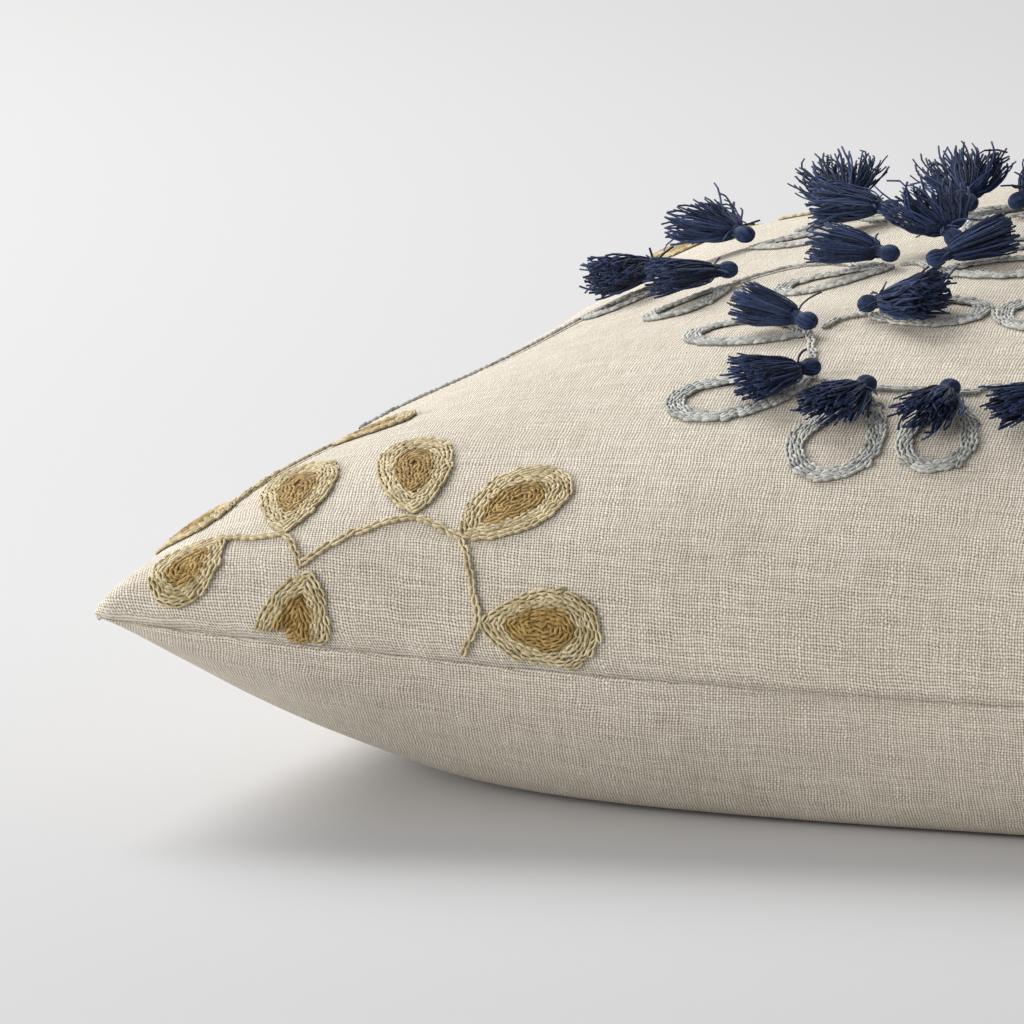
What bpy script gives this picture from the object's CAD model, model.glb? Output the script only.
import math

import bpy
import numpy as np
from mathutils import Matrix, Vector


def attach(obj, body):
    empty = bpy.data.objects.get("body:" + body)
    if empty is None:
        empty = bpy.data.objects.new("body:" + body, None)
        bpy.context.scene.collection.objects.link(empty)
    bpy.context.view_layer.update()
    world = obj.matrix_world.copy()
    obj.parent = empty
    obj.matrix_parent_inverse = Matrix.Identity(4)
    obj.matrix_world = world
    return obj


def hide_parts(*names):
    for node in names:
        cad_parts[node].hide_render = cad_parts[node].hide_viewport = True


# A throw pillow lying face up. Work is in millimetres of the CAD frame and turned into metres
# when a mesh is made. Cloth places are (across, along) in flat millimetres from the middle.

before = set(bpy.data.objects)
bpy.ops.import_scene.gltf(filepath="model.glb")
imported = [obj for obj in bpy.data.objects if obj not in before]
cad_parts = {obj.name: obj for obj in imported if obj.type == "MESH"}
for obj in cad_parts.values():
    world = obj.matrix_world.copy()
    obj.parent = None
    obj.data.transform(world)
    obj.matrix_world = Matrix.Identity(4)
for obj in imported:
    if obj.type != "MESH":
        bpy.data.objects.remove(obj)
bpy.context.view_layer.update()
MM = 0.001

# ---------------------------------------------------------------- sizes shared with the CAD part
CLOTH_HALF = 254.0
PLAN_HALF = 230.0
SIDE_PULL = 0.09
CROWN_HEIGHT = 83.4
BELLY_DEPTH = 88.6
CROWN_POWER = 0.36
BELLY_POWER = 0.54
SEAM_LOW = 34.6
SEAM_RISE = 13.0
SEAM_POWER = 1.1
FLOOR_BLEND = 4.0
FLOOR_BITE = 0.4
ARC_SHARE = 0.5
SLOPE_LIMIT = 252.0
CUT_LINE = 253.4
LEAF_POINT = 0.55
LEAF_FULL = 1.1
RING_SHARE = 0.2
CENTRE_LONG = 0.56
CENTRE_WIDE = 0.5
GREY_SHARE = 0.69
HEAD_LIFT = 3.5
ZIP_HALF = 150.0

# ---------------------------------------------------------------- sizes of the visible cloth
PAD_LIMIT = 251.4
HEAD_SPARE = 0.7
SEAM_EDGE = 0.04
SEAM_GAP = 0.02
ZIP_EDGE = 0.60
ZIP_GAP = 0.55
ZIP_SPARE = 3.0

# sizes of a leaf: length, width
SMALL_LEAF = (22, 15)
MIDDLE_LEAF = (28, 19)
BROAD_LEAF = (30, 21)
LONG_LEAF = (34, 19)

# leaves of the gold vine: across, along, heading in degrees, size
GOLD_LEAVES = [
    (-202, -220, 225, *SMALL_LEAF),
    (-210, -192, 205, *SMALL_LEAF),
    (-185, -222, 85, *LONG_LEAF),
    (-176, -233, 260, *MIDDLE_LEAF),
    (-200, -152, 30, *SMALL_LEAF),
    (-154, -215, 95, *LONG_LEAF),
    (-140, -224, 45, *BROAD_LEAF),
    (-132, -248, 0, *MIDDLE_LEAF),
    (92, -212, 205, *BROAD_LEAF),
    (120, -204, 260, *BROAD_LEAF),
    (126, -198, 70, *BROAD_LEAF),
    (158, -192, 300, *BROAD_LEAF),
    (166, -184, 120, *BROAD_LEAF),
    (192, -164, 345, *BROAD_LEAF),
    (200, -150, 110, *MIDDLE_LEAF),
    (212, -118, 60, *MIDDLE_LEAF),
    (8, -52, 200, *MIDDLE_LEAF),
    (12, -62, 20, *MIDDLE_LEAF),
    (14, -88, 225, *MIDDLE_LEAF),
    (22, -104, 330, *MIDDLE_LEAF),
]

# stems of the gold vine, each a run of cloth places
GOLD_STEMS = [
    [(-202, -220), (-194, -222), (-185, -222), (-180, -228), (-177, -235)],
    [(-177, -235), (-170, -227), (-162, -220), (-154, -216), (-147, -219), (-140, -224)],
    [(-140, -224), (-137, -231), (-134, -240), (-132, -247), (-134, -251), (-136, -253)],
    [(-210, -192), (-207, -180), (-204, -166), (-200, -152)],
    [(74, -206), (92, -210), (120, -202), (145, -197), (164, -186), (184, -172), (199, -152), (210, -121)],
    [(0, -14), (6, -36), (10, -60), (14, -84), (20, -102), (30, -122)],
]

# stems of the grey vine
GREY_STEMS = [
    [(-212, -112), (-200, -88), (-186, -60), (-176, -34), (-166, -24), (-155, -25)],
    [(-126, -59), (-122, -48), (-115, -42), (-104, -46), (-93, -57), (-84, -67)],
    [(-82, -65), (-77, -66), (-71, -75)],
    [(-88, -120), (-85, -129), (-82, -139), (-79, -149)],
    [(-86, -116), (-83, -110), (-78, -108)],
    [(-77, -150), (-70, -154), (-62, -156), (-55, -156), (-42, -158), (-36, -155), (-22, -159)],
    [(-20, -161), (0, -162), (22, -161), (40, -153), (58, -152), (72, -160)],
    [(-138, -2), (-127, 8), (-117, 17), (-108, 6), (-99, -4), (-88, -10), (-78, -15)],
    [(-77, -16), (-70, -17), (-60, -13), (-40, -3), (-10, 0)],
    [(-70, -57), (-73, -40), (-78, -18)],
    [(-14, -110), (-15, -128), (-18, -156)],
]

# lengths of the leaves of the grey vine
SHORT_GREY = 25
MIDDLE_GREY = 29
LONG_GREY = 35

# tassels: across, along, heading of the skirt, tilt up from the cloth, heading of the leaf
# below and that leaf's length
TASSELS = [
    (-154, -26, 220, 10, 220, SHORT_GREY),
    (-126, -60, 210, 10, 225, SHORT_GREY),
    (-140, -2, 150, 20, 350, SHORT_GREY),
    (-100, -6, 170, 10, 10, SHORT_GREY),
    (-118, 18, 110, 25, 120, MIDDLE_GREY),
    (-83, -68, 165, 10, 185, MIDDLE_GREY),
    (-88, -120, 155, 10, 155, LONG_GREY),
    (-79, -150, 220, 10, 205, LONG_GREY),
    (-64, -160, 250, 10, 260, LONG_GREY),
    (-45, -162, 260, 10, 270, MIDDLE_GREY),
    (-20, -162, 230, 10, 290, MIDDLE_GREY),
    (-77, -110, 350, 10, 5, MIDDLE_GREY),
    (-70, -76, 25, 10, 5, MIDDLE_GREY),
    (-70, -58, 130, 25, 40, SHORT_GREY),
    (-78, -15, 105, 25, 85, MIDDLE_GREY),
    (-65, -18, 50, 25, 20, MIDDLE_GREY),
    (-14, -110, 180, 10, 180, LONG_GREY),
    (22, -161, 265, 10, 270, MIDDLE_GREY),
    (58, -153, 290, 10, 285, MIDDLE_GREY),
]


# ---------------------------------------------------------------- the camera
def make_camera():
    """A long lens, low, aimed at the near left corner and the cloth to the right of it."""
    turn = math.radians(16.2)
    dip = math.radians(10.6)
    right = Vector((math.cos(turn), math.sin(turn), 0.0))
    level = Vector((-math.sin(turn), math.cos(turn), 0.0))
    look = level * math.cos(dip) - Vector((0, 0, 1)) * math.sin(dip)
    target = Vector((-137.0, -207.0, 72.5)) * MM
    distance = 2.335
    data = bpy.data.cameras.new("camera")
    data.sensor_width = 36.0
    data.lens = 364.0
    data.clip_start = 0.05
    data.clip_end = 60.0
    data.dof.use_dof = False
    camera = bpy.data.objects.new("camera", data)
    bpy.context.scene.collection.objects.link(camera)
    up = right.cross(look)
    place = target - look * distance
    camera.matrix_world = Matrix(
        (
            (right.x, up.x, -look.x, place.x),
            (right.y, up.y, -look.y, place.y),
            (right.z, up.z, -look.z, place.z),
            (0, 0, 0, 1),
        )
    )
    bpy.context.scene.camera = camera
    bpy.context.scene.view_settings.view_transform = "Standard"


make_camera()


# ---------------------------------------------------------------- the rounded panels
def cloth_turn(place):
    """The turn at which a flat cloth place sits on the rounded panel."""
    share = np.clip(np.asarray(place, float) / CLOTH_HALF, -1.0, 1.0)
    turn = share * math.pi / 2
    for step in range(12):
        miss = (1 - ARC_SHARE) * np.sin(turn) + ARC_SHARE * turn * 2 / math.pi - share
        slope = (1 - ARC_SHARE) * np.cos(turn) + ARC_SHARE * 2 / math.pi
        turn = turn - miss / slope
    return np.clip(turn, -math.pi / 2, math.pi / 2)


def seam_height(a, b):
    return SEAM_LOW + SEAM_RISE * np.abs(np.sin(a) * np.sin(b)) ** (2 * SEAM_POWER)


def panel_points(a, b, side):
    """Points of the smooth panel, in millimetres: side 1 is the front, side -1 the back."""
    cos_a = np.maximum(0.0, np.cos(a))
    cos_b = np.maximum(0.0, np.cos(b))
    x = PLAN_HALF * np.sin(a) * (1 - SIDE_PULL * cos_b**2)
    y = PLAN_HALF * np.sin(b) * (1 - SIDE_PULL * cos_a**2)
    seam = seam_height(a, b)
    full = (cos_a * cos_b) ** 2
    if side > 0:
        z = seam + CROWN_HEIGHT * full**CROWN_POWER * (1 - SIDE_PULL * (1 - full))
    else:
        low = seam - BELLY_DEPTH * full**BELLY_POWER
        z = 0.5 * (low + np.sqrt(low * low + FLOOR_BLEND**2)) - FLOOR_BITE
        z = np.maximum(z, 0.05)
    return np.stack([x, y, z], -1)


def even_turns(count):
    """Turns from seam to seam, spaced evenly along the cloth."""
    fine = np.linspace(-math.pi / 2, math.pi / 2, 4001)
    line = panel_points(fine, np.full_like(fine, 0.5), 1)
    run = np.concatenate([[0], np.cumsum(np.linalg.norm(np.diff(line, axis=0), axis=1))])
    wanted = np.linspace(0, run[-1], count + 1)
    return np.interp(wanted, run, fine)


def grid_normals(points, side):
    """Unit normals, out of the pillow, of a grid of points."""
    along_a = np.gradient(points, axis=1)
    along_b = np.gradient(points, axis=0)
    normal = np.cross(along_a, along_b) * side
    size = np.linalg.norm(normal, axis=-1, keepdims=True)
    return normal / np.maximum(size, 1e-9)


def smooth_noise(shape, cells, seed):
    """Smooth random numbers between about -1 and 1 on a grid, with so many cells a side."""
    random = np.random.default_rng(seed)
    coarse = random.uniform(-1, 1, (cells + 3, cells + 3))
    rows = np.linspace(0, cells, shape[0]) + 1
    cols = np.linspace(0, cells, shape[1]) + 1

    def weights(place):
        base = np.floor(place).astype(int)
        t = place - base
        w = [
            (1 - t) ** 3 / 6,
            (3 * t**3 - 6 * t**2 + 4) / 6,
            (-3 * t**3 + 3 * t**2 + 3 * t + 1) / 6,
            t**3 / 6,
        ]
        return base, w

    rb, rw = weights(rows)
    cb, cw = weights(cols)
    out = np.zeros(shape)
    for i in range(4):
        for j in range(4):
            r = np.clip(rb + i - 1, 0, cells + 2)
            c = np.clip(cb + j - 1, 0, cells + 2)
            out += rw[i][:, None] * cw[j][None, :] * coarse[np.ix_(r, c)]
    return out * 1.8


GRID = 200
FOLD_DEPTH = 2.0
turns = even_turns(GRID)
turn_a, turn_b = np.meshgrid(turns, turns)


def wave_line(turn, cells, seed):
    """Smooth random numbers along one direction of the cloth."""
    random = np.random.default_rng(seed)
    knots = random.uniform(-1, 1, cells + 4)
    place = (turn / math.pi + 0.5) * cells + 1
    base = np.floor(place).astype(int)
    t = place - base
    t = t * t * (3 - 2 * t)
    return knots[base] * (1 - t) + knots[base + 1] * t


def rim_reach(turn):
    """Rough distance over the cloth to the nearest seam across one direction."""
    return 83.0 * np.maximum(0.0, math.pi / 2 - np.abs(turn)) ** 0.8


def rounded_corners(points, radius=6.0):
    """Pulls the four corner tips in, as a turned cloth corner is."""
    moved = points.copy()
    over_x = np.clip(np.abs(points[..., 0]) - (PLAN_HALF - radius), 0, radius)
    over_y = np.clip(np.abs(points[..., 1]) - (PLAN_HALF - radius), 0, radius)
    for axis, own, other in ((0, over_x, over_y), (1, over_y, over_x)):
        short = own * (1 - np.sqrt(1 - other**2 / (2 * radius**2)))
        moved[..., axis] -= np.sign(points[..., axis]) * short
    return moved


def flat_place(turn):
    """The flat cloth place at a turn of the rounded panel."""
    return CLOTH_HALF * ((1 - ARC_SHARE) * np.sin(turn) + ARC_SHARE * turn * 2 / math.pi)


def calm_at_tassels(depth=0.75, reach=10.0):
    """The share of the dents that is left: cloth lies smooth where a tassel is sewn through it."""
    across = flat_place(turn_a)
    along = flat_place(turn_b)
    calm = np.ones(across.shape)
    for tassel in TASSELS:
        for hand in (1, -1):
            away = (across - hand * tassel[0]) ** 2 + (along - hand * tassel[1]) ** 2
            calm *= 1 - depth * np.exp(-away / (2 * reach**2))
    return calm


def shaped_panel(side, seed):
    """The panel with the slow dents, folds and small puckers of real stuffing and sewing."""
    points = panel_points(turn_a, turn_b, side)
    normal = grid_normals(points, side)
    reach_a = rim_reach(turn_a)
    reach_b = rim_reach(turn_b)
    rim = np.minimum(reach_a, reach_b)
    hold = 1 - np.exp(-rim / 5.0)
    dents = smooth_noise(points.shape[:2], 6, seed) * 1.5
    dents += smooth_noise(points.shape[:2], 14, seed + 1) * 1.1
    if side > 0:
        dents *= calm_at_tassels()
    near_b = (reach_a + 2.0) ** 2 / ((reach_a + 2.0) ** 2 + (reach_b + 2.0) ** 2)
    folds = wave_line(turn_a, 15, seed + 3) * near_b + wave_line(turn_b, 15, seed + 4) * (1 - near_b)
    fine = wave_line(turn_a, 42, seed + 5) * near_b + wave_line(turn_b, 42, seed + 6) * (1 - near_b)
    move = dents + folds * FOLD_DEPTH * np.exp(-rim / 42.0) + fine * 0.34 * np.exp(-rim / 13.0)
    move = move * hold + 0.5 * (1 - np.exp(-rim / 3.0))
    move += 1.3 * np.exp(-np.hypot(reach_a, reach_b) / 13.0) * (1 - np.exp(-rim / 1.2))
    if side < 0:
        low = np.clip((points[..., 2] - 1.0) / 14.0, 0, 1)
        move = move * low
    moved = rounded_corners(points + normal * move[..., None])
    if side < 0:
        moved[..., 2] = np.maximum(moved[..., 2], 0.05)
    return moved


front = shaped_panel(1, 11)
back = shaped_panel(-1, 23)
front_normal = grid_normals(front, 1)


def unit(vectors):
    return vectors / np.maximum(np.linalg.norm(vectors, axis=-1, keepdims=True), 1e-9)


def smooth_place(across, along):
    return panel_points(cloth_turn(across), cloth_turn(along), 1)


class Cloth:
    """Looks up places on the finished front panel."""

    def at(self, across, along, lift=0.0):
        a = np.interp(cloth_turn(across), turns, np.arange(len(turns)))
        b = np.interp(cloth_turn(along), turns, np.arange(len(turns)))
        i = np.clip(np.floor(a).astype(int), 0, GRID - 1)
        j = np.clip(np.floor(b).astype(int), 0, GRID - 1)
        u = (a - i)[..., None]
        v = (b - j)[..., None]

        def mix(values):
            return (
                values[j, i] * (1 - u) * (1 - v)
                + values[j, i + 1] * u * (1 - v)
                + values[j + 1, i] * (1 - u) * v
                + values[j + 1, i + 1] * u * v
            )

        normal = mix(front_normal)
        normal /= np.linalg.norm(normal, axis=-1, keepdims=True)
        return mix(front) + normal * np.asarray(lift)[..., None], normal

    def slopes(self, across, along):
        reach = 0.25
        s = np.clip(across, -SLOPE_LIMIT, SLOPE_LIMIT)
        t = np.clip(along, -SLOPE_LIMIT, SLOPE_LIMIT)
        east = (smooth_place(s + reach, t) - smooth_place(s - reach, t)) / (2 * reach)
        north = (smooth_place(s, t + reach) - smooth_place(s, t - reach)) / (2 * reach)
        return east, north

    def walk(self, across, along, heading, distance, steps=4):
        """Cloth places reached by going true distances over the smooth panel."""
        across, along, heading, distance = [
            np.array(v, float) for v in np.broadcast_arrays(across, along, heading, distance)
        ]
        east, north = self.slopes(across, along)
        normal = unit(np.cross(east, north))
        turn = np.radians(heading)[..., None]
        way = unit(east) * np.cos(turn) + np.cross(normal, unit(east)) * np.sin(turn)
        for step in range(steps):
            east, north = self.slopes(across, along)
            normal = unit(np.cross(east, north))
            way = unit(way - normal * np.sum(way * normal, -1, keepdims=True))
            ee = np.sum(east * east, -1)
            nn = np.sum(north * north, -1)
            en = np.sum(east * north, -1)
            we = np.sum(way * east, -1)
            wn = np.sum(way * north, -1)
            spread = ee * nn - en * en
            pace = distance / steps
            across = across + pace * (we * nn - wn * en) / spread
            along = along + pace * (wn * ee - we * en) / spread
        return np.clip(across, -CUT_LINE, CUT_LINE), np.clip(along, -CUT_LINE, CUT_LINE)


cloth = Cloth()


# ---------------------------------------------------------------- mesh helpers
def link_mesh(name, verts, faces, material=None, smooth=True):
    """A mesh object from millimetre points."""
    mesh = bpy.data.meshes.new(name)
    verts = np.asarray(verts, np.float64) * MM
    faces = np.asarray(faces, np.int32)
    mesh.vertices.add(len(verts))
    mesh.vertices.foreach_set("co", verts.astype(np.float32).ravel())
    count, sides = faces.shape
    mesh.loops.add(count * sides)
    mesh.loops.foreach_set("vertex_index", faces.ravel())
    mesh.polygons.add(count)
    mesh.polygons.foreach_set("loop_start", np.arange(0, count * sides, sides, dtype=np.int32))
    mesh.polygons.foreach_set("loop_total", np.full(count, sides, np.int32))
    mesh.update(calc_edges=True)
    mesh.polygons.foreach_set("use_smooth", np.full(count, smooth))
    mesh.validate()
    obj = bpy.data.objects.new(name, mesh)
    bpy.context.scene.collection.objects.link(obj)
    if material:
        mesh.materials.append(material)
    return obj


def set_uv(obj, uv_by_vertex):
    layer = obj.data.uv_layers.new(name="cloth")
    index = np.zeros(len(obj.data.loops), np.int32)
    obj.data.loops.foreach_get("vertex_index", index)
    layer.data.foreach_set("uv", uv_by_vertex[index].astype(np.float32).ravel())


def set_value(obj, name, values):
    attribute = obj.data.attributes.new(name, "FLOAT", "POINT")
    attribute.data.foreach_set("value", np.asarray(values, np.float32))


# ---------------------------------------------------------------- materials
def new_material(name):
    material = bpy.data.materials.new(name)
    material.use_nodes = True
    tree = material.node_tree
    shader = tree.nodes["Principled BSDF"]
    return material, tree, shader


def node(tree, kind, **values):
    made = tree.nodes.new(kind)
    for key, value in values.items():
        setattr(made, key, value)
    return made


def maths(tree, operation, first, second=None):
    made = tree.nodes.new("ShaderNodeMath")
    made.operation = operation
    for index, value in enumerate((first, second)):
        if value is None:
            continue
        if isinstance(value, (int, float)):
            made.inputs[index].default_value = value
        else:
            tree.links.new(value, made.inputs[index])
    return made.outputs[0]


def ramp(tree, value, stops):
    made = tree.nodes.new("ShaderNodeValToRGB")
    elements = made.color_ramp.elements
    while len(elements) < len(stops):
        elements.new(0.5)
    for element, (place, colour) in zip(elements, stops):
        element.position = place
        element.color = (*colour, 1.0)
    tree.links.new(value, made.inputs[0])
    return made.outputs[0]


def mix_colour(tree, share, first, second, blend="MIX"):
    made = tree.nodes.new("ShaderNodeMix")
    made.data_type = "RGBA"
    made.blend_type = blend
    for socket, value in ((made.inputs[0], share), (made.inputs[6], first), (made.inputs[7], second)):
        if isinstance(value, (int, float)):
            socket.default_value = value
        elif isinstance(value, tuple):
            socket.default_value = (*value, 1.0)
        else:
            tree.links.new(value, socket)
    return made.outputs[2]


def noise(tree, vector, scale, detail=3.0, rough=0.55):
    made = tree.nodes.new("ShaderNodeTexNoise")
    made.inputs["Scale"].default_value = scale
    made.inputs["Detail"].default_value = detail
    made.inputs["Roughness"].default_value = rough
    tree.links.new(vector, made.inputs["Vector"])
    return made.outputs["Fac"]


def stretched(tree, vector, scale):
    made = tree.nodes.new("ShaderNodeMapping")
    made.inputs["Scale"].default_value = scale
    tree.links.new(vector, made.inputs["Vector"])
    return made.outputs[0]


def bump(tree, height, strength, distance, under=None):
    made = tree.nodes.new("ShaderNodeBump")
    made.inputs["Strength"].default_value = strength
    made.inputs["Distance"].default_value = distance
    tree.links.new(height, made.inputs["Height"])
    if under is not None:
        tree.links.new(under, made.inputs["Normal"])
    return made.outputs[0]


def woven_material(name, pitch=0.75):
    """Plain weave of uneven yarn: the UV map holds millimetres along both threads."""
    material, tree, shader = new_material(name)
    uv = node(tree, "ShaderNodeUVMap", uv_map="cloth").outputs[0]
    split = tree.nodes.new("ShaderNodeSeparateXYZ")
    tree.links.new(uv, split.inputs[0])
    sway = maths(tree, "MULTIPLY", maths(tree, "SUBTRACT", noise(tree, uv, 0.12, 3.0), 0.5), 2.0)
    u = maths(tree, "DIVIDE", maths(tree, "ADD", split.outputs[0], sway), pitch)
    v = maths(tree, "DIVIDE", maths(tree, "SUBTRACT", split.outputs[1], sway), pitch)

    def yarn(over, ahead, hand, thin_scale):
        """Height and tone of one set of threads; over counts threads, ahead runs along them."""
        number = maths(tree, "FLOOR", over)
        offset = maths(tree, "SUBTRACT", maths(tree, "SUBTRACT", over, number), 0.5)
        thin = noise(tree, stretched(tree, uv, thin_scale), 1.0, 2.0, 0.6)
        half = maths(tree, "ADD", maths(tree, "MULTIPLY", thin, 0.26), 0.245)
        round_part = maths(tree, "POWER", maths(tree, "DIVIDE", offset, half), 2.0)
        body = maths(tree, "SQRT", maths(tree, "MAXIMUM", maths(tree, "SUBTRACT", 1.0, round_part), 0.0))
        crossing = maths(tree, "ADD", maths(tree, "SUBTRACT", ahead, 0.5), number)
        phase = maths(tree, "MULTIPLY", crossing, math.pi)
        wave = maths(tree, "MULTIPLY", maths(tree, "COSINE", phase), 0.55 * hand)
        each = node(tree, "ShaderNodeTexWhiteNoise", noise_dimensions="1D")
        tree.links.new(maths(tree, "ADD", number, 31.7 * hand), each.inputs["W"])
        own = maths(tree, "MULTIPLY", each.outputs["Value"], 0.16)
        tone = maths(tree, "ADD", own, maths(tree, "MULTIPLY", thin, 0.84))
        return maths(tree, "ADD", body, wave), tone

    warp, warp_tone = yarn(u, v, 1.0, (1.3, 0.10, 1.0))
    weft, weft_tone = yarn(v, u, -1.0, (0.085, 1.3, 1.0))
    top = maths(tree, "MAXIMUM", warp, weft)
    is_warp = maths(tree, "GREATER_THAN", warp, weft)
    warp_colour = ramp(tree, warp_tone, [(0.30, WARP_DARK), (0.72, WARP_LIGHT)])
    weft_colour = ramp(tree, weft_tone, [(0.30, WEFT_DARK), (0.72, WEFT_LIGHT)])
    colour = mix_colour(tree, is_warp, weft_colour, warp_colour)
    fleck = noise(tree, uv, 1.1, 3.0, 0.75)
    speck = ramp(tree, fleck, [(0.34, (0.74, 0.71, 0.66)), (0.60, (1.0, 1.0, 1.0))])
    colour = mix_colour(tree, 0.8, colour, speck, "MULTIPLY")
    low = maths(tree, "MULTIPLY", top, 0.6)
    shade = ramp(tree, low, [(0.14, GAP_TONE), (0.42, RIM_TONE), (0.80, (1.0, 1.0, 1.0))])
    colour = mix_colour(tree, 1.0, colour, shade, "MULTIPLY")
    cloud = ramp(tree, noise(tree, uv, 0.03, 3.0), [(0.35, (0.955, 0.95, 0.94)), (0.65, (1.0, 1.0, 1.0))])
    colour = mix_colour(tree, 1.0, colour, cloud, "MULTIPLY")
    tree.links.new(colour, shader.inputs["Base Color"])
    tree.links.new(bump(tree, top, 0.6, 0.00016), shader.inputs["Normal"])
    shader.inputs["Roughness"].default_value = 0.92
    shader.inputs["Sheen Weight"].default_value = 0.08
    shader.inputs["Sheen Roughness"].default_value = 0.5
    shader.inputs["Specular IOR Level"].default_value = 0.15
    return material


def thread_material(name, dark, light, fleck_scale=900.0, sheen=0.25):
    """Spun thread: heathered colour, fine fibres, a little sheen."""
    material, tree, shader = new_material(name)
    place = node(tree, "ShaderNodeTexCoord").outputs["Object"]
    shade = node(tree, "ShaderNodeAttribute", attribute_name="shade").outputs["Fac"]
    fleck = noise(tree, place, fleck_scale, 3.0, 0.65)
    tone = maths(tree, "ADD", maths(tree, "MULTIPLY", fleck, 0.6), maths(tree, "MULTIPLY", shade, 0.4))
    colour = ramp(tree, tone, [(0.34, dark), (0.66, light)])
    tree.links.new(colour, shader.inputs["Base Color"])
    fibre = noise(tree, place, fleck_scale * 3.0, 2.0, 0.7)
    tree.links.new(bump(tree, fibre, 0.5, 0.00012), shader.inputs["Normal"])
    shader.inputs["Roughness"].default_value = 0.85
    shader.inputs["Sheen Weight"].default_value = sheen
    shader.inputs["Sheen Roughness"].default_value = 0.4
    shader.inputs["Specular IOR Level"].default_value = 0.25
    return material


def plain_cad_material(name, dark, light, scale, metallic=0.0, rough=0.6):
    """For the small CAD pieces that stay: colour and roughness that vary over the surface."""
    material, tree, shader = new_material(name)
    place = node(tree, "ShaderNodeTexCoord").outputs["Object"]
    grain = noise(tree, place, scale, 4.0, 0.6)
    tree.links.new(ramp(tree, grain, [(0.3, dark), (0.7, light)]), shader.inputs["Base Color"])
    uneven = maths(tree, "ADD", maths(tree, "MULTIPLY", grain, 0.25), rough - 0.12)
    tree.links.new(uneven, shader.inputs["Roughness"])
    tree.links.new(bump(tree, grain, 0.25, 0.0001), shader.inputs["Normal"])
    shader.inputs["Metallic"].default_value = metallic
    return material


WARP_LIGHT = (0.96, 0.912, 0.825)
WARP_DARK = (0.76, 0.70, 0.605)
WEFT_LIGHT = (0.93, 0.88, 0.79)
WEFT_DARK = (0.62, 0.56, 0.475)
GAP_TONE = (0.10, 0.082, 0.062)
RIM_TONE = (0.70, 0.66, 0.60)
COVER = woven_material("cover_weave")
GOLD = thread_material("gold_thread", (0.33, 0.26, 0.125), (0.68, 0.575, 0.36))
MUSTARD = thread_material("mustard_thread", (0.19, 0.115, 0.03), (0.47, 0.31, 0.105))
GREY = thread_material("grey_thread", (0.23, 0.235, 0.222), (0.61, 0.615, 0.575), 800.0)
NAVY = thread_material("navy_yarn", (0.005, 0.009, 0.026), (0.032, 0.058, 0.150), 1100.0, 0.12)


# ---------------------------------------------------------------- cover panels
def cloth_lengths(points):
    """Millimetres along both threads from the middle lines; the seams lie along the threads."""
    middle = GRID // 2
    step_u = np.linalg.norm(np.diff(points, axis=1), axis=-1)
    step_v = np.linalg.norm(np.diff(points, axis=0), axis=-1)
    u = np.concatenate([np.zeros((GRID + 1, 1)), np.cumsum(step_u, axis=1)], axis=1)
    v = np.concatenate([np.zeros((1, GRID + 1)), np.cumsum(step_v, axis=0)], axis=0)
    u = (u - u[:, middle : middle + 1]) / u[:, -1:] * 2 * CLOTH_HALF
    v = (v - v[middle : middle + 1, :]) / v[-1:, :] * 2 * CLOTH_HALF
    return np.stack([u, v], -1)


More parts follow.
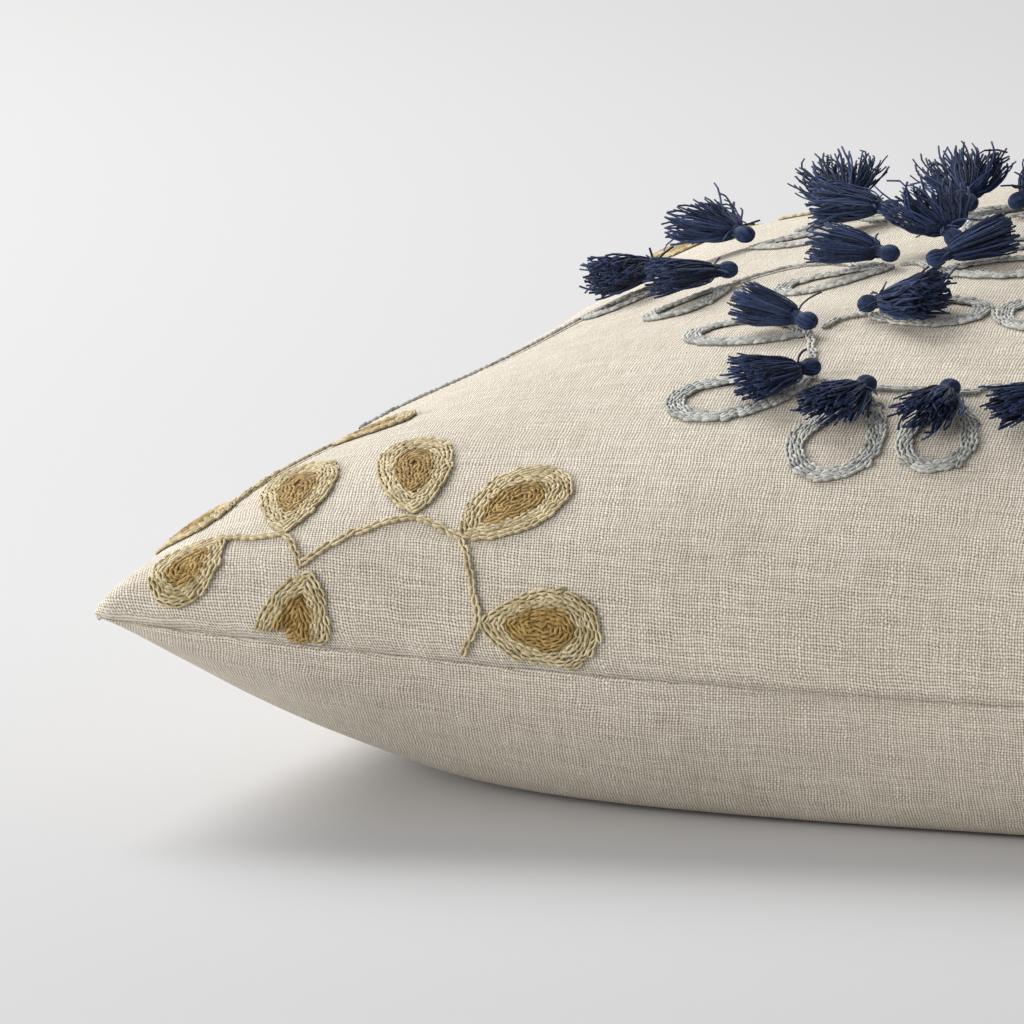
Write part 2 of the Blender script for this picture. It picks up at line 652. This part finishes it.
def panel_object(name, points, side, thick=0.8, tuck=2.6):
    """A closed panel: outer cloth, rolled edge turned into the seam, inner cloth."""
    normal = grid_normals(points, side)
    size = GRID + 1
    seam_z = seam_height(turn_a, turn_b)
    outer = points.copy()
    edge = np.zeros((size, size), bool)
    edge[0, :] = edge[-1, :] = edge[:, 0] = edge[:, -1] = True
    outer[edge, 2] = (seam_z + side * SEAM_EDGE)[edge]
    loop = [(0, i) for i in range(size)] + [(j, size - 1) for j in range(1, size)]
    loop += [(size - 1, i) for i in range(size - 2, -1, -1)] + [(j, 0) for j in range(size - 2, 0, -1)]
    loop = np.array(loop)
    rim = outer[loop[:, 0], loop[:, 1]]
    rim_seam = seam_z[loop[:, 0], loop[:, 1]]
    ahead = np.roll(rim, -1, 0) - np.roll(rim, 1, 0)
    flat_in = np.stack([-ahead[:, 1], ahead[:, 0], np.zeros(len(rim))], -1)
    flat_in /= np.linalg.norm(flat_in, axis=-1, keepdims=True)
    zip_run = (np.abs(rim[:, 0]) < ZIP_HALF + ZIP_SPARE) & (rim[:, 1] > 180)
    gap = np.where(zip_run, ZIP_GAP, SEAM_GAP)
    rim[:, 2] = rim_seam + side * np.where(zip_run, ZIP_EDGE, SEAM_EDGE)
    outer[loop[:, 0], loop[:, 1]] = rim
    rings = [rim]
    for depth, height in ((0.3, 0.015), (1.2, 0.005), (tuck, 0.0)):
        ring = rim + flat_in * depth
        ring[:, 2] = rim_seam + side * (gap + height)
        rings.append(ring)
    inner_rim = rim + flat_in * (tuck + 0.6)
    inner_rim[:, 2] = rim_seam + side * (gap + 0.2)
    rings.append(inner_rim)
    verts = [outer.reshape(-1, 3)]
    offset = size * size
    ring_start = []
    for ring in rings[1:]:
        ring_start.append(offset)
        verts.append(ring)
        offset += len(ring)
    verts = np.concatenate(verts)
    index = np.arange(size * size).reshape(size, size)
    quads = np.stack([index[:-1, :-1], index[:-1, 1:], index[1:, 1:], index[1:, :-1]], -1).reshape(-1, 4)
    if side < 0:
        quads = quads[:, ::-1]
    faces = [quads]
    ids = index[loop[:, 0], loop[:, 1]]
    previous = ids
    for start in ring_start:
        current = start + np.arange(len(loop))
        strip = np.stack([previous, current, np.roll(current, -1), np.roll(previous, -1)], -1)
        faces.append(strip if side > 0 else strip[:, ::-1])
        previous = current
    # inner cloth, joined to the last ring
    near_seam = np.minimum(rim_reach(turn_a), rim_reach(turn_b))[1:-1, 1:-1, None]
    inner_points = outer[1:-1, 1:-1] - normal[1:-1, 1:-1] * thick * np.clip(near_seam / 9.0, 0.1, 1.0)
    inner_size = size - 2
    inner_index = offset + np.arange(inner_size * inner_size).reshape(inner_size, inner_size)
    verts = np.concatenate([verts, inner_points.reshape(-1, 3)])
    quads = [inner_index[:-1, :-1], inner_index[1:, :-1], inner_index[1:, 1:], inner_index[:-1, 1:]]
    quads = np.stack(quads, -1).reshape(-1, 4)
    if side < 0:
        quads = quads[:, ::-1]
    faces.append(quads)
    clipped = np.clip(loop - 1, 0, inner_size - 1)
    inner_ids = inner_index[clipped[:, 0], clipped[:, 1]]
    strip = np.stack([previous, inner_ids, np.roll(inner_ids, -1), np.roll(previous, -1)], -1)
    faces.append(strip if side > 0 else strip[:, ::-1])
    obj = link_mesh(name, verts, np.concatenate(faces), COVER)
    lengths = cloth_lengths(points)
    uv = np.zeros((len(verts), 2))
    uv[: size * size] = lengths.reshape(-1, 2)
    rim_uv = lengths[loop[:, 0], loop[:, 1]]
    for number, start in enumerate(ring_start):
        uv[start : start + len(loop)] = rim_uv + 0.5 * (number + 1)
    uv[offset:] = lengths[1:-1, 1:-1].reshape(-1, 2)
    set_uv(obj, uv)
    return obj


front_piece = panel_object("cover_front_cloth", front, 1)
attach(front_piece, "pillow")
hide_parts("cover_front")
back_piece = panel_object("cover_back_cloth", back, -1)
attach(back_piece, "pillow")
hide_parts("cover_back")


# ---------------------------------------------------------------- chain stitch
def stitch_template(long=2.65, wide=0.84, radius=0.42, sides=4, parts=4):
    """One chain stitch: two plump legs that bow apart and meet under the next one, along X."""
    verts = []
    faces = []
    for hand in (-1, 1):
        base = len(verts)
        for i in range(parts + 1):
            share = i / parts
            bow = math.sin(math.pi * share**1.25)
            x = long * share
            y = hand * (0.12 + wide / 2 * bow**0.8)
            z = radius * (0.35 + 0.65 * math.sin(math.pi * share**1.3) ** 0.7)
            fat = radius * (0.62 + 0.38 * bow)
            for k in range(sides):
                turn = 2 * math.pi * (k + 0.5) / sides
                verts.append((x, y + fat * math.cos(turn), z + fat * math.sin(turn)))
        for i in range(parts):
            for k in range(sides):
                a = base + i * sides + k
                b = base + i * sides + (k + 1) % sides
                faces.append((a, b, b + sides, a + sides))
    return np.array(verts), np.array(faces)


STITCH, STITCH_FACES = stitch_template()


def stitch_rows(paths, pitch=2.05, lift=0.28, seed=1, wide=1.0):
    """Chain stitches along runs of cloth places; each path is (across, along, closed)."""
    random = np.random.default_rng(seed)
    origins, ways, normals, sizes = [], [], [], []
    for across, along, closed in paths:
        across = np.asarray(across, float)
        along = np.asarray(along, float)
        if closed:
            across = np.append(across, across[0])
            along = np.append(along, along[0])
        points, _ = cloth.at(across, along)
        run = np.concatenate([[0], np.cumsum(np.linalg.norm(np.diff(points, axis=0), axis=1))])
        if run[-1] < 1.2:
            continue
        count = max(1, int(round(run[-1] / pitch)))
        marks = np.linspace(0, run[-1], count + 1)
        s = np.interp(marks, run, across)
        t = np.interp(marks, run, along)
        points, normal = cloth.at(s, t)
        way = points[1:] - points[:-1]
        length = np.linalg.norm(way, axis=-1, keepdims=True)
        keep = (np.abs(s[:-1]) < CUT_LINE - 0.1) & (np.abs(t[:-1]) < CUT_LINE - 0.1)
        keep &= length[:, 0] > 0.4
        origins.append(points[:-1][keep])
        ways.append((way / np.maximum(length, 1e-6))[keep])
        normals.append(normal[:-1][keep])
        sizes.append(length[keep, 0] / pitch)
    origins = np.concatenate(origins)
    ways = np.concatenate(ways)
    normals = np.concatenate(normals)
    sizes = np.concatenate(sizes)
    side = np.cross(normals, ways)
    side /= np.linalg.norm(side, axis=-1, keepdims=True)
    normals = np.cross(ways, side)
    count = len(origins)
    jitter = random.uniform(0.88, 1.14, (count, 3))
    local = STITCH[None] * (jitter * np.stack([sizes, np.full(count, wide), np.ones(count)], -1))[:, None]
    lean = random.normal(0, 0.17, count)
    x = local[..., 0] * np.cos(lean)[:, None] - local[..., 1] * np.sin(lean)[:, None]
    y = local[..., 0] * np.sin(lean)[:, None] + local[..., 1] * np.cos(lean)[:, None]
    verts = origins[:, None] + x[..., None] * ways[:, None] + y[..., None] * side[:, None]
    verts = verts + (local[..., 2] + lift)[..., None] * normals[:, None]
    faces = STITCH_FACES[None] + (np.arange(count) * len(STITCH))[:, None, None]
    shade = np.repeat(random.uniform(0.25, 0.85, count), len(STITCH))
    return verts.reshape(-1, 3), faces.reshape(-1, 4), shade


def stitched(name, paths, material, body, slot, replaced=None, **options):
    verts, faces, shade = stitch_rows(paths, **options)
    obj = link_mesh(name, verts, faces, material)
    set_value(obj, "shade", shade)
    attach(obj, body)
    if replaced:
        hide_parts(replaced)
    return obj


def leaf_outline(length, width, grow, count=72):
    """Turn and distance from a leaf's middle to its edge; the foot is pointed."""
    t = np.linspace(0, 2 * math.pi, count, endpoint=False)
    x = -np.cos(t) * length / 2
    y = np.sin(t) * np.abs(np.sin(t / 2)) ** LEAF_POINT * width / 2 * LEAF_FULL
    return np.degrees(np.arctan2(y, x)), np.maximum(0.25, np.hypot(x, y) + grow)


def leaf_middle(leaf):
    across, along, heading, length = leaf[0:4]
    s, t = cloth.walk([across], [along], [heading], [length / 2])
    return s[0], t[0]


def leaf_path(leaf, grow, long_share=1.0, wide_share=1.0):
    """Cloth places round a leaf, grown or shrunk from its own or a smaller outline."""
    middle = leaf_middle(leaf)
    turn, radius = leaf_outline(leaf[3] * long_share, leaf[4] * wide_share, grow)
    s, t = cloth.walk(middle[0], middle[1], leaf[2] + turn, radius)
    return s, t, True


def leaf_pad(leaf, outer, inner, lift, long_share=1.0, wide_share=1.0, rings=7):
    """The ground of a leaf under its stitches, from an outer to an inner outline."""
    middle = leaf_middle(leaf)
    turn, radius = leaf_outline(leaf[3] * long_share, leaf[4] * wide_share, outer)
    least = 0.3 if inner is None else np.maximum(0.3, radius - outer + inner)
    verts = []
    for share in np.linspace(0, 1, rings):
        s, t = cloth.walk(middle[0], middle[1], leaf[2] + turn, radius * (1 - share) + least * share)
        edge = 0.12 if share == 0 else lift
        s = np.clip(s, -PAD_LIMIT, PAD_LIMIT)
        t = np.clip(t, -PAD_LIMIT, PAD_LIMIT)
        verts.append(cloth.at(s, t, np.full(len(s), edge))[0])
    count = len(turn)
    index = np.arange(rings * count).reshape(rings, count)
    following = np.roll(index, -1, 1)
    faces = np.stack([index[:-1], following[:-1], following[1:], index[1:]], -1).reshape(-1, 4)
    return np.concatenate(verts), faces


def leaf_pads(name, pads, material):
    verts = []
    faces = []
    start = 0
    for pad_verts, pad_faces in pads:
        verts.append(pad_verts)
        faces.append(pad_faces + start)
        start += len(pad_verts)
    obj = link_mesh(name, np.concatenate(verts), np.concatenate(faces), material)
    set_value(obj, "shade", np.full(start, 0.3))
    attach(obj, "pillow")


def half_turned(items, headings):
    turned = []
    for item in items:
        copy = list(item)
        copy[0] = -copy[0]
        copy[1] = -copy[1]
        for place in headings:
            copy[place] += 180
        turned.append(tuple(copy))
    return list(items) + turned


def stem_path(run):
    """A smooth line through a run of cloth places."""
    points = np.array(run, float)
    extended = np.concatenate([[2 * points[0] - points[1]], points, [2 * points[-1] - points[-2]]])
    out = []
    for i in range(1, len(extended) - 2):
        p0, p1, p2, p3 = extended[i - 1 : i + 3]
        for share in np.linspace(0, 1, 12, endpoint=False):
            out.append(
                0.5
                * (
                    2 * p1
                    + (p2 - p0) * share
                    + (2 * p0 - 5 * p1 + 4 * p2 - p3) * share**2
                    + (3 * p1 - p0 - 3 * p2 + p3) * share**3
                )
            )
    out.append(points[-1])
    out = np.array(out)
    return out[:, 0], out[:, 1], False


def all_runs(runs):
    return [stem_path(run) for run in runs] + [stem_path([(-p[0], -p[1]) for p in run]) for run in runs]


gold_leaves = half_turned(GOLD_LEAVES, [2])
tassels = half_turned(TASSELS, [2, 4])
grey_leaves = [(t[0], t[1], t[4], t[5], t[5] * GREY_SHARE) for t in tassels]

for name, runs, material, slot, node_name, seed in (
    ("gold_stem_stitches", GOLD_STEMS, GOLD, "gold_thread", "gold_stems", 3),
    ("grey_stem_stitches", GREY_STEMS, GREY, "grey_thread", "grey_stems", 4),
):
    stitched(name, all_runs(runs), material, "pillow", slot, node_name, seed=seed, wide=1.1)
for half, leaves in enumerate((gold_leaves[: len(GOLD_LEAVES)], gold_leaves[len(GOLD_LEAVES) :])):
    label = str(half + 1)
    ring_node = None if half else "gold_leaf_rings"
    centre_node = None if half else "mustard_centres"
    centre = (CENTRE_LONG, CENTRE_WIDE)
    rows = [leaf_path(leaf, grow) for leaf in leaves for grow in (-0.75, -2.1, -3.45)]
    rows += [leaf_path(leaf, 0.0, 0.66, 0.60) for leaf in leaves]
    name = "gold_leaf_stitches_" + label
    stitched(name, rows, GOLD, "pillow", "gold_thread", ring_node, seed=5 + half)
    rows = [leaf_path(leaf, grow, *centre) for leaf in leaves for grow in (-0.5, -1.7, -2.9, -4.1)]
    name = "mustard_centre_stitches_" + label
    stitched(name, rows, MUSTARD, "pillow", "mustard_thread", centre_node, seed=7 + half, lift=0.36)
    pads = [leaf_pad(leaf, -0.35, None, 0.38) for leaf in leaves]
    leaf_pads("gold_leaf_ground_" + label, pads, GOLD)
    pads = [leaf_pad(leaf, -0.3, None, 0.5, *centre) for leaf in leaves]
    leaf_pads("mustard_centre_ground_" + label, pads, MUSTARD)
for half, leaves in enumerate((grey_leaves[: len(TASSELS)], grey_leaves[len(TASSELS) :])):
    label = str(half + 1)
    ring_node = None if half else "grey_leaf_rings"
    rows = [leaf_path(leaf, -share * leaf[4]) for leaf in leaves for share in (0.034, 0.098, 0.162)]
    name = "grey_leaf_stitches_" + label
    stitched(name, rows, GREY, "pillow", "grey_thread", ring_node, seed=9 + half)
    pads = [leaf_pad(leaf, -0.35, -RING_SHARE * leaf[4] + 0.2, 0.38) for leaf in leaves]
    leaf_pads("grey_leaf_ground_" + label, pads, GREY)


# ---------------------------------------------------------------- tassels
def tube_mesh(lines, radii, sides=5):
    """Tubes along many lines of the same number of points."""
    lines = np.asarray(lines, float)
    count, parts = lines.shape[:2]
    way = np.gradient(lines, axis=1)
    way /= np.maximum(np.linalg.norm(way, axis=-1, keepdims=True), 1e-9)
    helper = np.where(np.abs(way[..., 2:3]) > 0.9, np.array([1.0, 0, 0]), np.array([0, 0, 1.0]))
    side = np.cross(way, helper)
    side /= np.maximum(np.linalg.norm(side, axis=-1, keepdims=True), 1e-9)
    up = np.cross(side, way)
    turn = np.linspace(0, 2 * math.pi, sides, endpoint=False)
    ring = np.cos(turn)[None, None, :, None] * side[:, :, None]
    ring = ring + np.sin(turn)[None, None, :, None] * up[:, :, None]
    verts = lines[:, :, None] + ring * np.asarray(radii)[:, None, None, None]
    index = np.arange(count * parts * sides).reshape(count, parts, sides)
    a = index[:, :-1]
    b = index[:, 1:]
    faces = np.stack([a, np.roll(a, -1, 2), np.roll(b, -1, 2), b], -1).reshape(-1, 4)
    # close both ends with a middle point
    ends = np.stack([lines[:, 0], lines[:, -1]], 1).reshape(-1, 3)
    start = count * parts * sides
    ends_index = start + np.arange(count * 2).reshape(count, 2)
    caps = []
    for which, ring_index in ((0, index[:, 0]), (1, index[:, -1])):
        following = np.roll(ring_index, -1, 1)
        middle = np.repeat(ends_index[:, which : which + 1], sides, 1)
        pair = (following, ring_index) if which == 0 else (ring_index, following)
        caps.append(np.stack([pair[0], pair[1], middle, middle], -1).reshape(-1, 4))
    return verts.reshape(-1, 3), faces, ends, np.concatenate(caps)[:, :3], parts * sides


def tassel_mesh(name, lines, radii, plane, shades, body, material, sides=5):
    verts, faces, ends, caps, per_line = tube_mesh(lines, radii, sides)
    every = np.concatenate([verts, ends])
    world = plane[0] + every[:, :1] * plane[1] + every[:, 1:2] * plane[2] + every[:, 2:3] * plane[3]
    mesh = bpy.data.meshes.new(name)
    mesh.from_pydata((world * MM).tolist(), [], faces.tolist() + caps.tolist())
    mesh.polygons.foreach_set("use_smooth", np.ones(len(mesh.polygons), bool))
    mesh.materials.append(material)
    obj = bpy.data.objects.new(name, mesh)
    bpy.context.scene.collection.objects.link(obj)
    values = np.concatenate([np.repeat(shades, per_line), np.repeat(shades, 2)])
    set_value(obj, "shade", values)
    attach(obj, body)
    return obj


def tassel_plane(tassel):
    """Head place, way of the skirt, sideways, and off the cloth, for one tassel."""
    across, along, heading, tilt = tassel[0:4]
    east, north = cloth.slopes(across, along)
    normal = unit(np.cross(east, north))
    east = unit(east)
    north = np.cross(normal, east)
    way = east * math.cos(math.radians(heading)) + north * math.sin(math.radians(heading))
    lean = math.radians(tilt)
    skirt = way * math.cos(lean) + normal * math.sin(lean)
    off = normal * math.cos(lean) - way * math.sin(lean)
    origin = smooth_place(across, along) + normal * HEAD_LIFT
    origin[2] += HEAD_SPARE
    return origin, skirt, np.cross(off, skirt), off


# how each of the listed tassels splays: sideways, upward, curl, strays
NEAT = (6.0, 4.6, 0.45, 2)
WIDE = (9.4, 4.6, 0.7, 2)
MESSY = (12.5, 4.8, 1.4, 6)
SPLAYS = [MESSY, WIDE, MESSY, MESSY, MESSY, WIDE, NEAT, WIDE, WIDE, WIDE]
SPLAYS += [NEAT, MESSY, NEAT, MESSY, MESSY, MESSY, NEAT, WIDE, NEAT]


def head_lines(random):
    """Threads folded over the head, from its tip to the neck."""
    lines = []
    turn = math.pi * np.linspace(0.02, 0.86, 10)
    ahead = 0.2 - 2.1 * np.cos(turn)
    ahead[-1] += 0.9
    radius = 2.25 * np.sin(turn) ** 0.85
    radius[-3:] = np.maximum(radius[-3:], 1.5)
    share = np.linspace(0, 1, 10)
    for i in range(28):
        around = 2 * math.pi * (i + random.uniform(-0.3, 0.3)) / 28 + 0.5 * share
        lines.append(np.stack([ahead, radius * np.cos(around), radius * np.sin(around) * 0.78], -1))
    return np.array(lines)


def neck_line():
    share = np.linspace(0, 1, 46)
    turn = share * 2 * math.pi * 3.4
    return np.stack([2.7 + 1.1 * share, 1.75 * np.cos(turn), 1.40 * np.sin(turn)], -1)[None]


def skirt_lines(random, splay, count):
    """Cut threads that leave the neck, splay and end raggedly."""
    wide, high, curl, strays = splay
    share = np.linspace(0, 1, 9)
    lines = []
    for i in range(count):
        spot = random.uniform(0.05, 1.0) ** 0.6
        turn = random.uniform(0, 2 * math.pi)
        long = random.normal(15.2, 1.3) * (1 - 0.16 * (spot * math.cos(turn)) ** 2 * wide / 9)
        flare = share ** random.uniform(0.45, 0.72)
        y = 1.25 * spot * math.cos(turn) * (1 - share) + wide * spot * math.cos(turn) * flare
        z = 1.0 * spot * math.sin(turn) * (1 - share) + high * spot * math.sin(turn) * flare
        amount = curl * random.uniform(0.3, 1.5) * (2.2 if random.uniform() < 0.12 else 1.0)
        spin = random.uniform(0, 2 * math.pi, 2)
        pace = random.uniform(3.0, 6.5, 2)
        y = y + amount * share**1.3 * np.sin(pace[0] * share + spin[0])
        z = z + amount * share**1.3 * np.sin(pace[1] * share + spin[1]) * 0.8
        lines.append(np.stack([3.3 + long * share, y, z], -1))
    for i in range(strays):
        turn = random.uniform(0.1, math.pi - 0.1)
        long = random.uniform(5.0, 9.5)
        ahead = random.uniform(-0.7, 0.6)
        bend = random.normal(0, 1.6, 2)
        x = 3.6 + long * share * ahead + bend[0] * share**2
        y = 1.5 * math.cos(turn) + long * share * math.cos(turn) * 0.8 + bend[1] * share**2
        z = 1.2 * math.sin(turn) + long * share * math.sin(turn) * 0.6 - 1.4 * share**2
        lines.append(np.stack([x, y, z], -1))
    return np.array(lines)


def make_tassel(number, tassel):
    random = np.random.default_rng(100 + number)
    body = "tassel_%02d" % (number + 1)
    splay = SPLAYS[number % len(TASSELS)]
    plane = tassel_plane(tassel)
    drop = math.tan(math.radians(tassel[3]))
    lines = head_lines(random)
    radii = np.full(len(lines), 0.36)
    head = tassel_mesh(body + "_head", lines, radii, plane, random.uniform(0.2, 0.8, len(lines)), body, NAVY)
    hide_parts(body)
    tassel_mesh(body + "_tie", neck_line(), np.full(1, 0.28), plane, np.array([0.35]), body, NAVY)
    lines = skirt_lines(random, splay, 190 if splay is MESSY else 150)
    # nothing hangs below the cloth
    floor = 1.1 - HEAD_LIFT - lines[..., 0] * drop
    lines[..., 2] = np.maximum(lines[..., 2], floor + random.uniform(0, 0.9, lines.shape[:1])[:, None])
    radii = random.normal(0.245, 0.025, len(lines))
    shades = random.uniform(0.05, 0.95, len(lines))
    tassel_mesh(body + "_skirt", lines, radii, plane, shades, body, NAVY, sides=4)


for number, tassel in enumerate(tassels):
    make_tassel(number, tassel)


# ---------------------------------------------------------------- carried-over CAD nodes
def dress(names, material):
    for name in names:
        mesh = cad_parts[name].data
        mesh.materials.clear()
        mesh.materials.append(material)


def dress_all():
    dress(
        ["insert_top", "insert_bottom"],
        plain_cad_material("insert_cloth", (0.70, 0.70, 0.68), (0.86, 0.86, 0.84), 900.0, rough=0.9),
    )
    dress(
        ["fibre_fill"],
        plain_cad_material("fibre_fill", (0.82, 0.82, 0.82), (0.92, 0.92, 0.92), 260.0, rough=0.95),
    )
    dress(
        ["seam_thread"],
        plain_cad_material("sewing_thread", (0.62, 0.56, 0.46), (0.78, 0.72, 0.62), 1500.0, rough=0.8),
    )
    dress(
        ["zip_tape_upper", "zip_tape_lower"],
        plain_cad_material("zip_tape", (0.60, 0.53, 0.43), (0.74, 0.67, 0.57), 1200.0, rough=0.9),
    )
    dress(
        ["zip_coil_upper", "zip_coil_lower"],
        plain_cad_material("zip_coil", (0.66, 0.61, 0.52), (0.78, 0.74, 0.66), 1800.0, rough=0.45),
    )
    dress(
        ["zip_slider", "zip_pull", "zip_top_stop", "zip_bottom_stop"],
        plain_cad_material("zip_metal", (0.42, 0.40, 0.36), (0.62, 0.60, 0.55), 700.0, 1.0, 0.38),
    )


dress_all()


# ---------------------------------------------------------------- floor and light
def make_floor():
    mesh = bpy.data.meshes.new("floor")
    reach = 30.0
    corners = [(-reach, -reach, 0), (reach, -reach, 0), (reach, reach, 0), (-reach, reach, 0)]
    mesh.from_pydata(corners, [], [(0, 1, 2, 3)])
    material, tree, shader = new_material("floor_paper")
    place = node(tree, "ShaderNodeTexCoord").outputs["Object"]
    split = node(tree, "ShaderNodeSeparateXYZ")
    tree.links.new(place, split.inputs[0])
    far = maths(tree, "DIVIDE", maths(tree, "ADD", split.outputs[1], 0.6), 2.0)
    near_tone = (0.56, 0.56, 0.565)
    middle_tone = (0.585, 0.585, 0.59)
    far_tone = (0.49, 0.49, 0.49)
    tone = ramp(tree, far, [(0.11, near_tone), (0.30, middle_tone), (0.85, far_tone)])
    tree.links.new(tone, shader.inputs["Base Color"])
    grain = noise(tree, place, 90.0, 3.0)
    tree.links.new(bump(tree, grain, 0.05, 0.0004), shader.inputs["Normal"])
    shader.inputs["Roughness"].default_value = 0.9
    shader.inputs["Specular IOR Level"].default_value = 0.1
    mesh.materials.append(material)
    floor = bpy.data.objects.new("floor", mesh)
    bpy.context.scene.collection.objects.link(floor)


def area_light(name, place, target, size, power, colour=(1, 1, 1)):
    data = bpy.data.lights.new(name, "AREA")
    data.shape = "RECTANGLE"
    data.size = size[0]
    data.size_y = size[1]
    data.energy = power
    data.color = colour
    light = bpy.data.objects.new(name, data)
    bpy.context.scene.collection.objects.link(light)
    light.location = place
    light.rotation_euler = (Vector(target) - Vector(place)).to_track_quat("-Z", "Y").to_euler()


def make_light():
    world = bpy.data.worlds.new("studio")
    bpy.context.scene.world = world
    world.use_nodes = True
    background = world.node_tree.nodes["Background"]
    background.inputs[0].default_value = (0.93, 0.94, 0.96, 1)
    background.inputs[1].default_value = 0.42
    area_light("top_softbox", (-1.45, 0.95, 1.65), (-0.05, -0.1, 0), (1.5, 1.5), 61.0, (1.0, 0.995, 0.985))
    area_light("front_fill", (-1.3, -1.25, 0.5), (-0.1, -0.2, 0.05), (1.2, 0.8), 22.0, (1.0, 0.985, 0.965))



make_floor()
make_light()
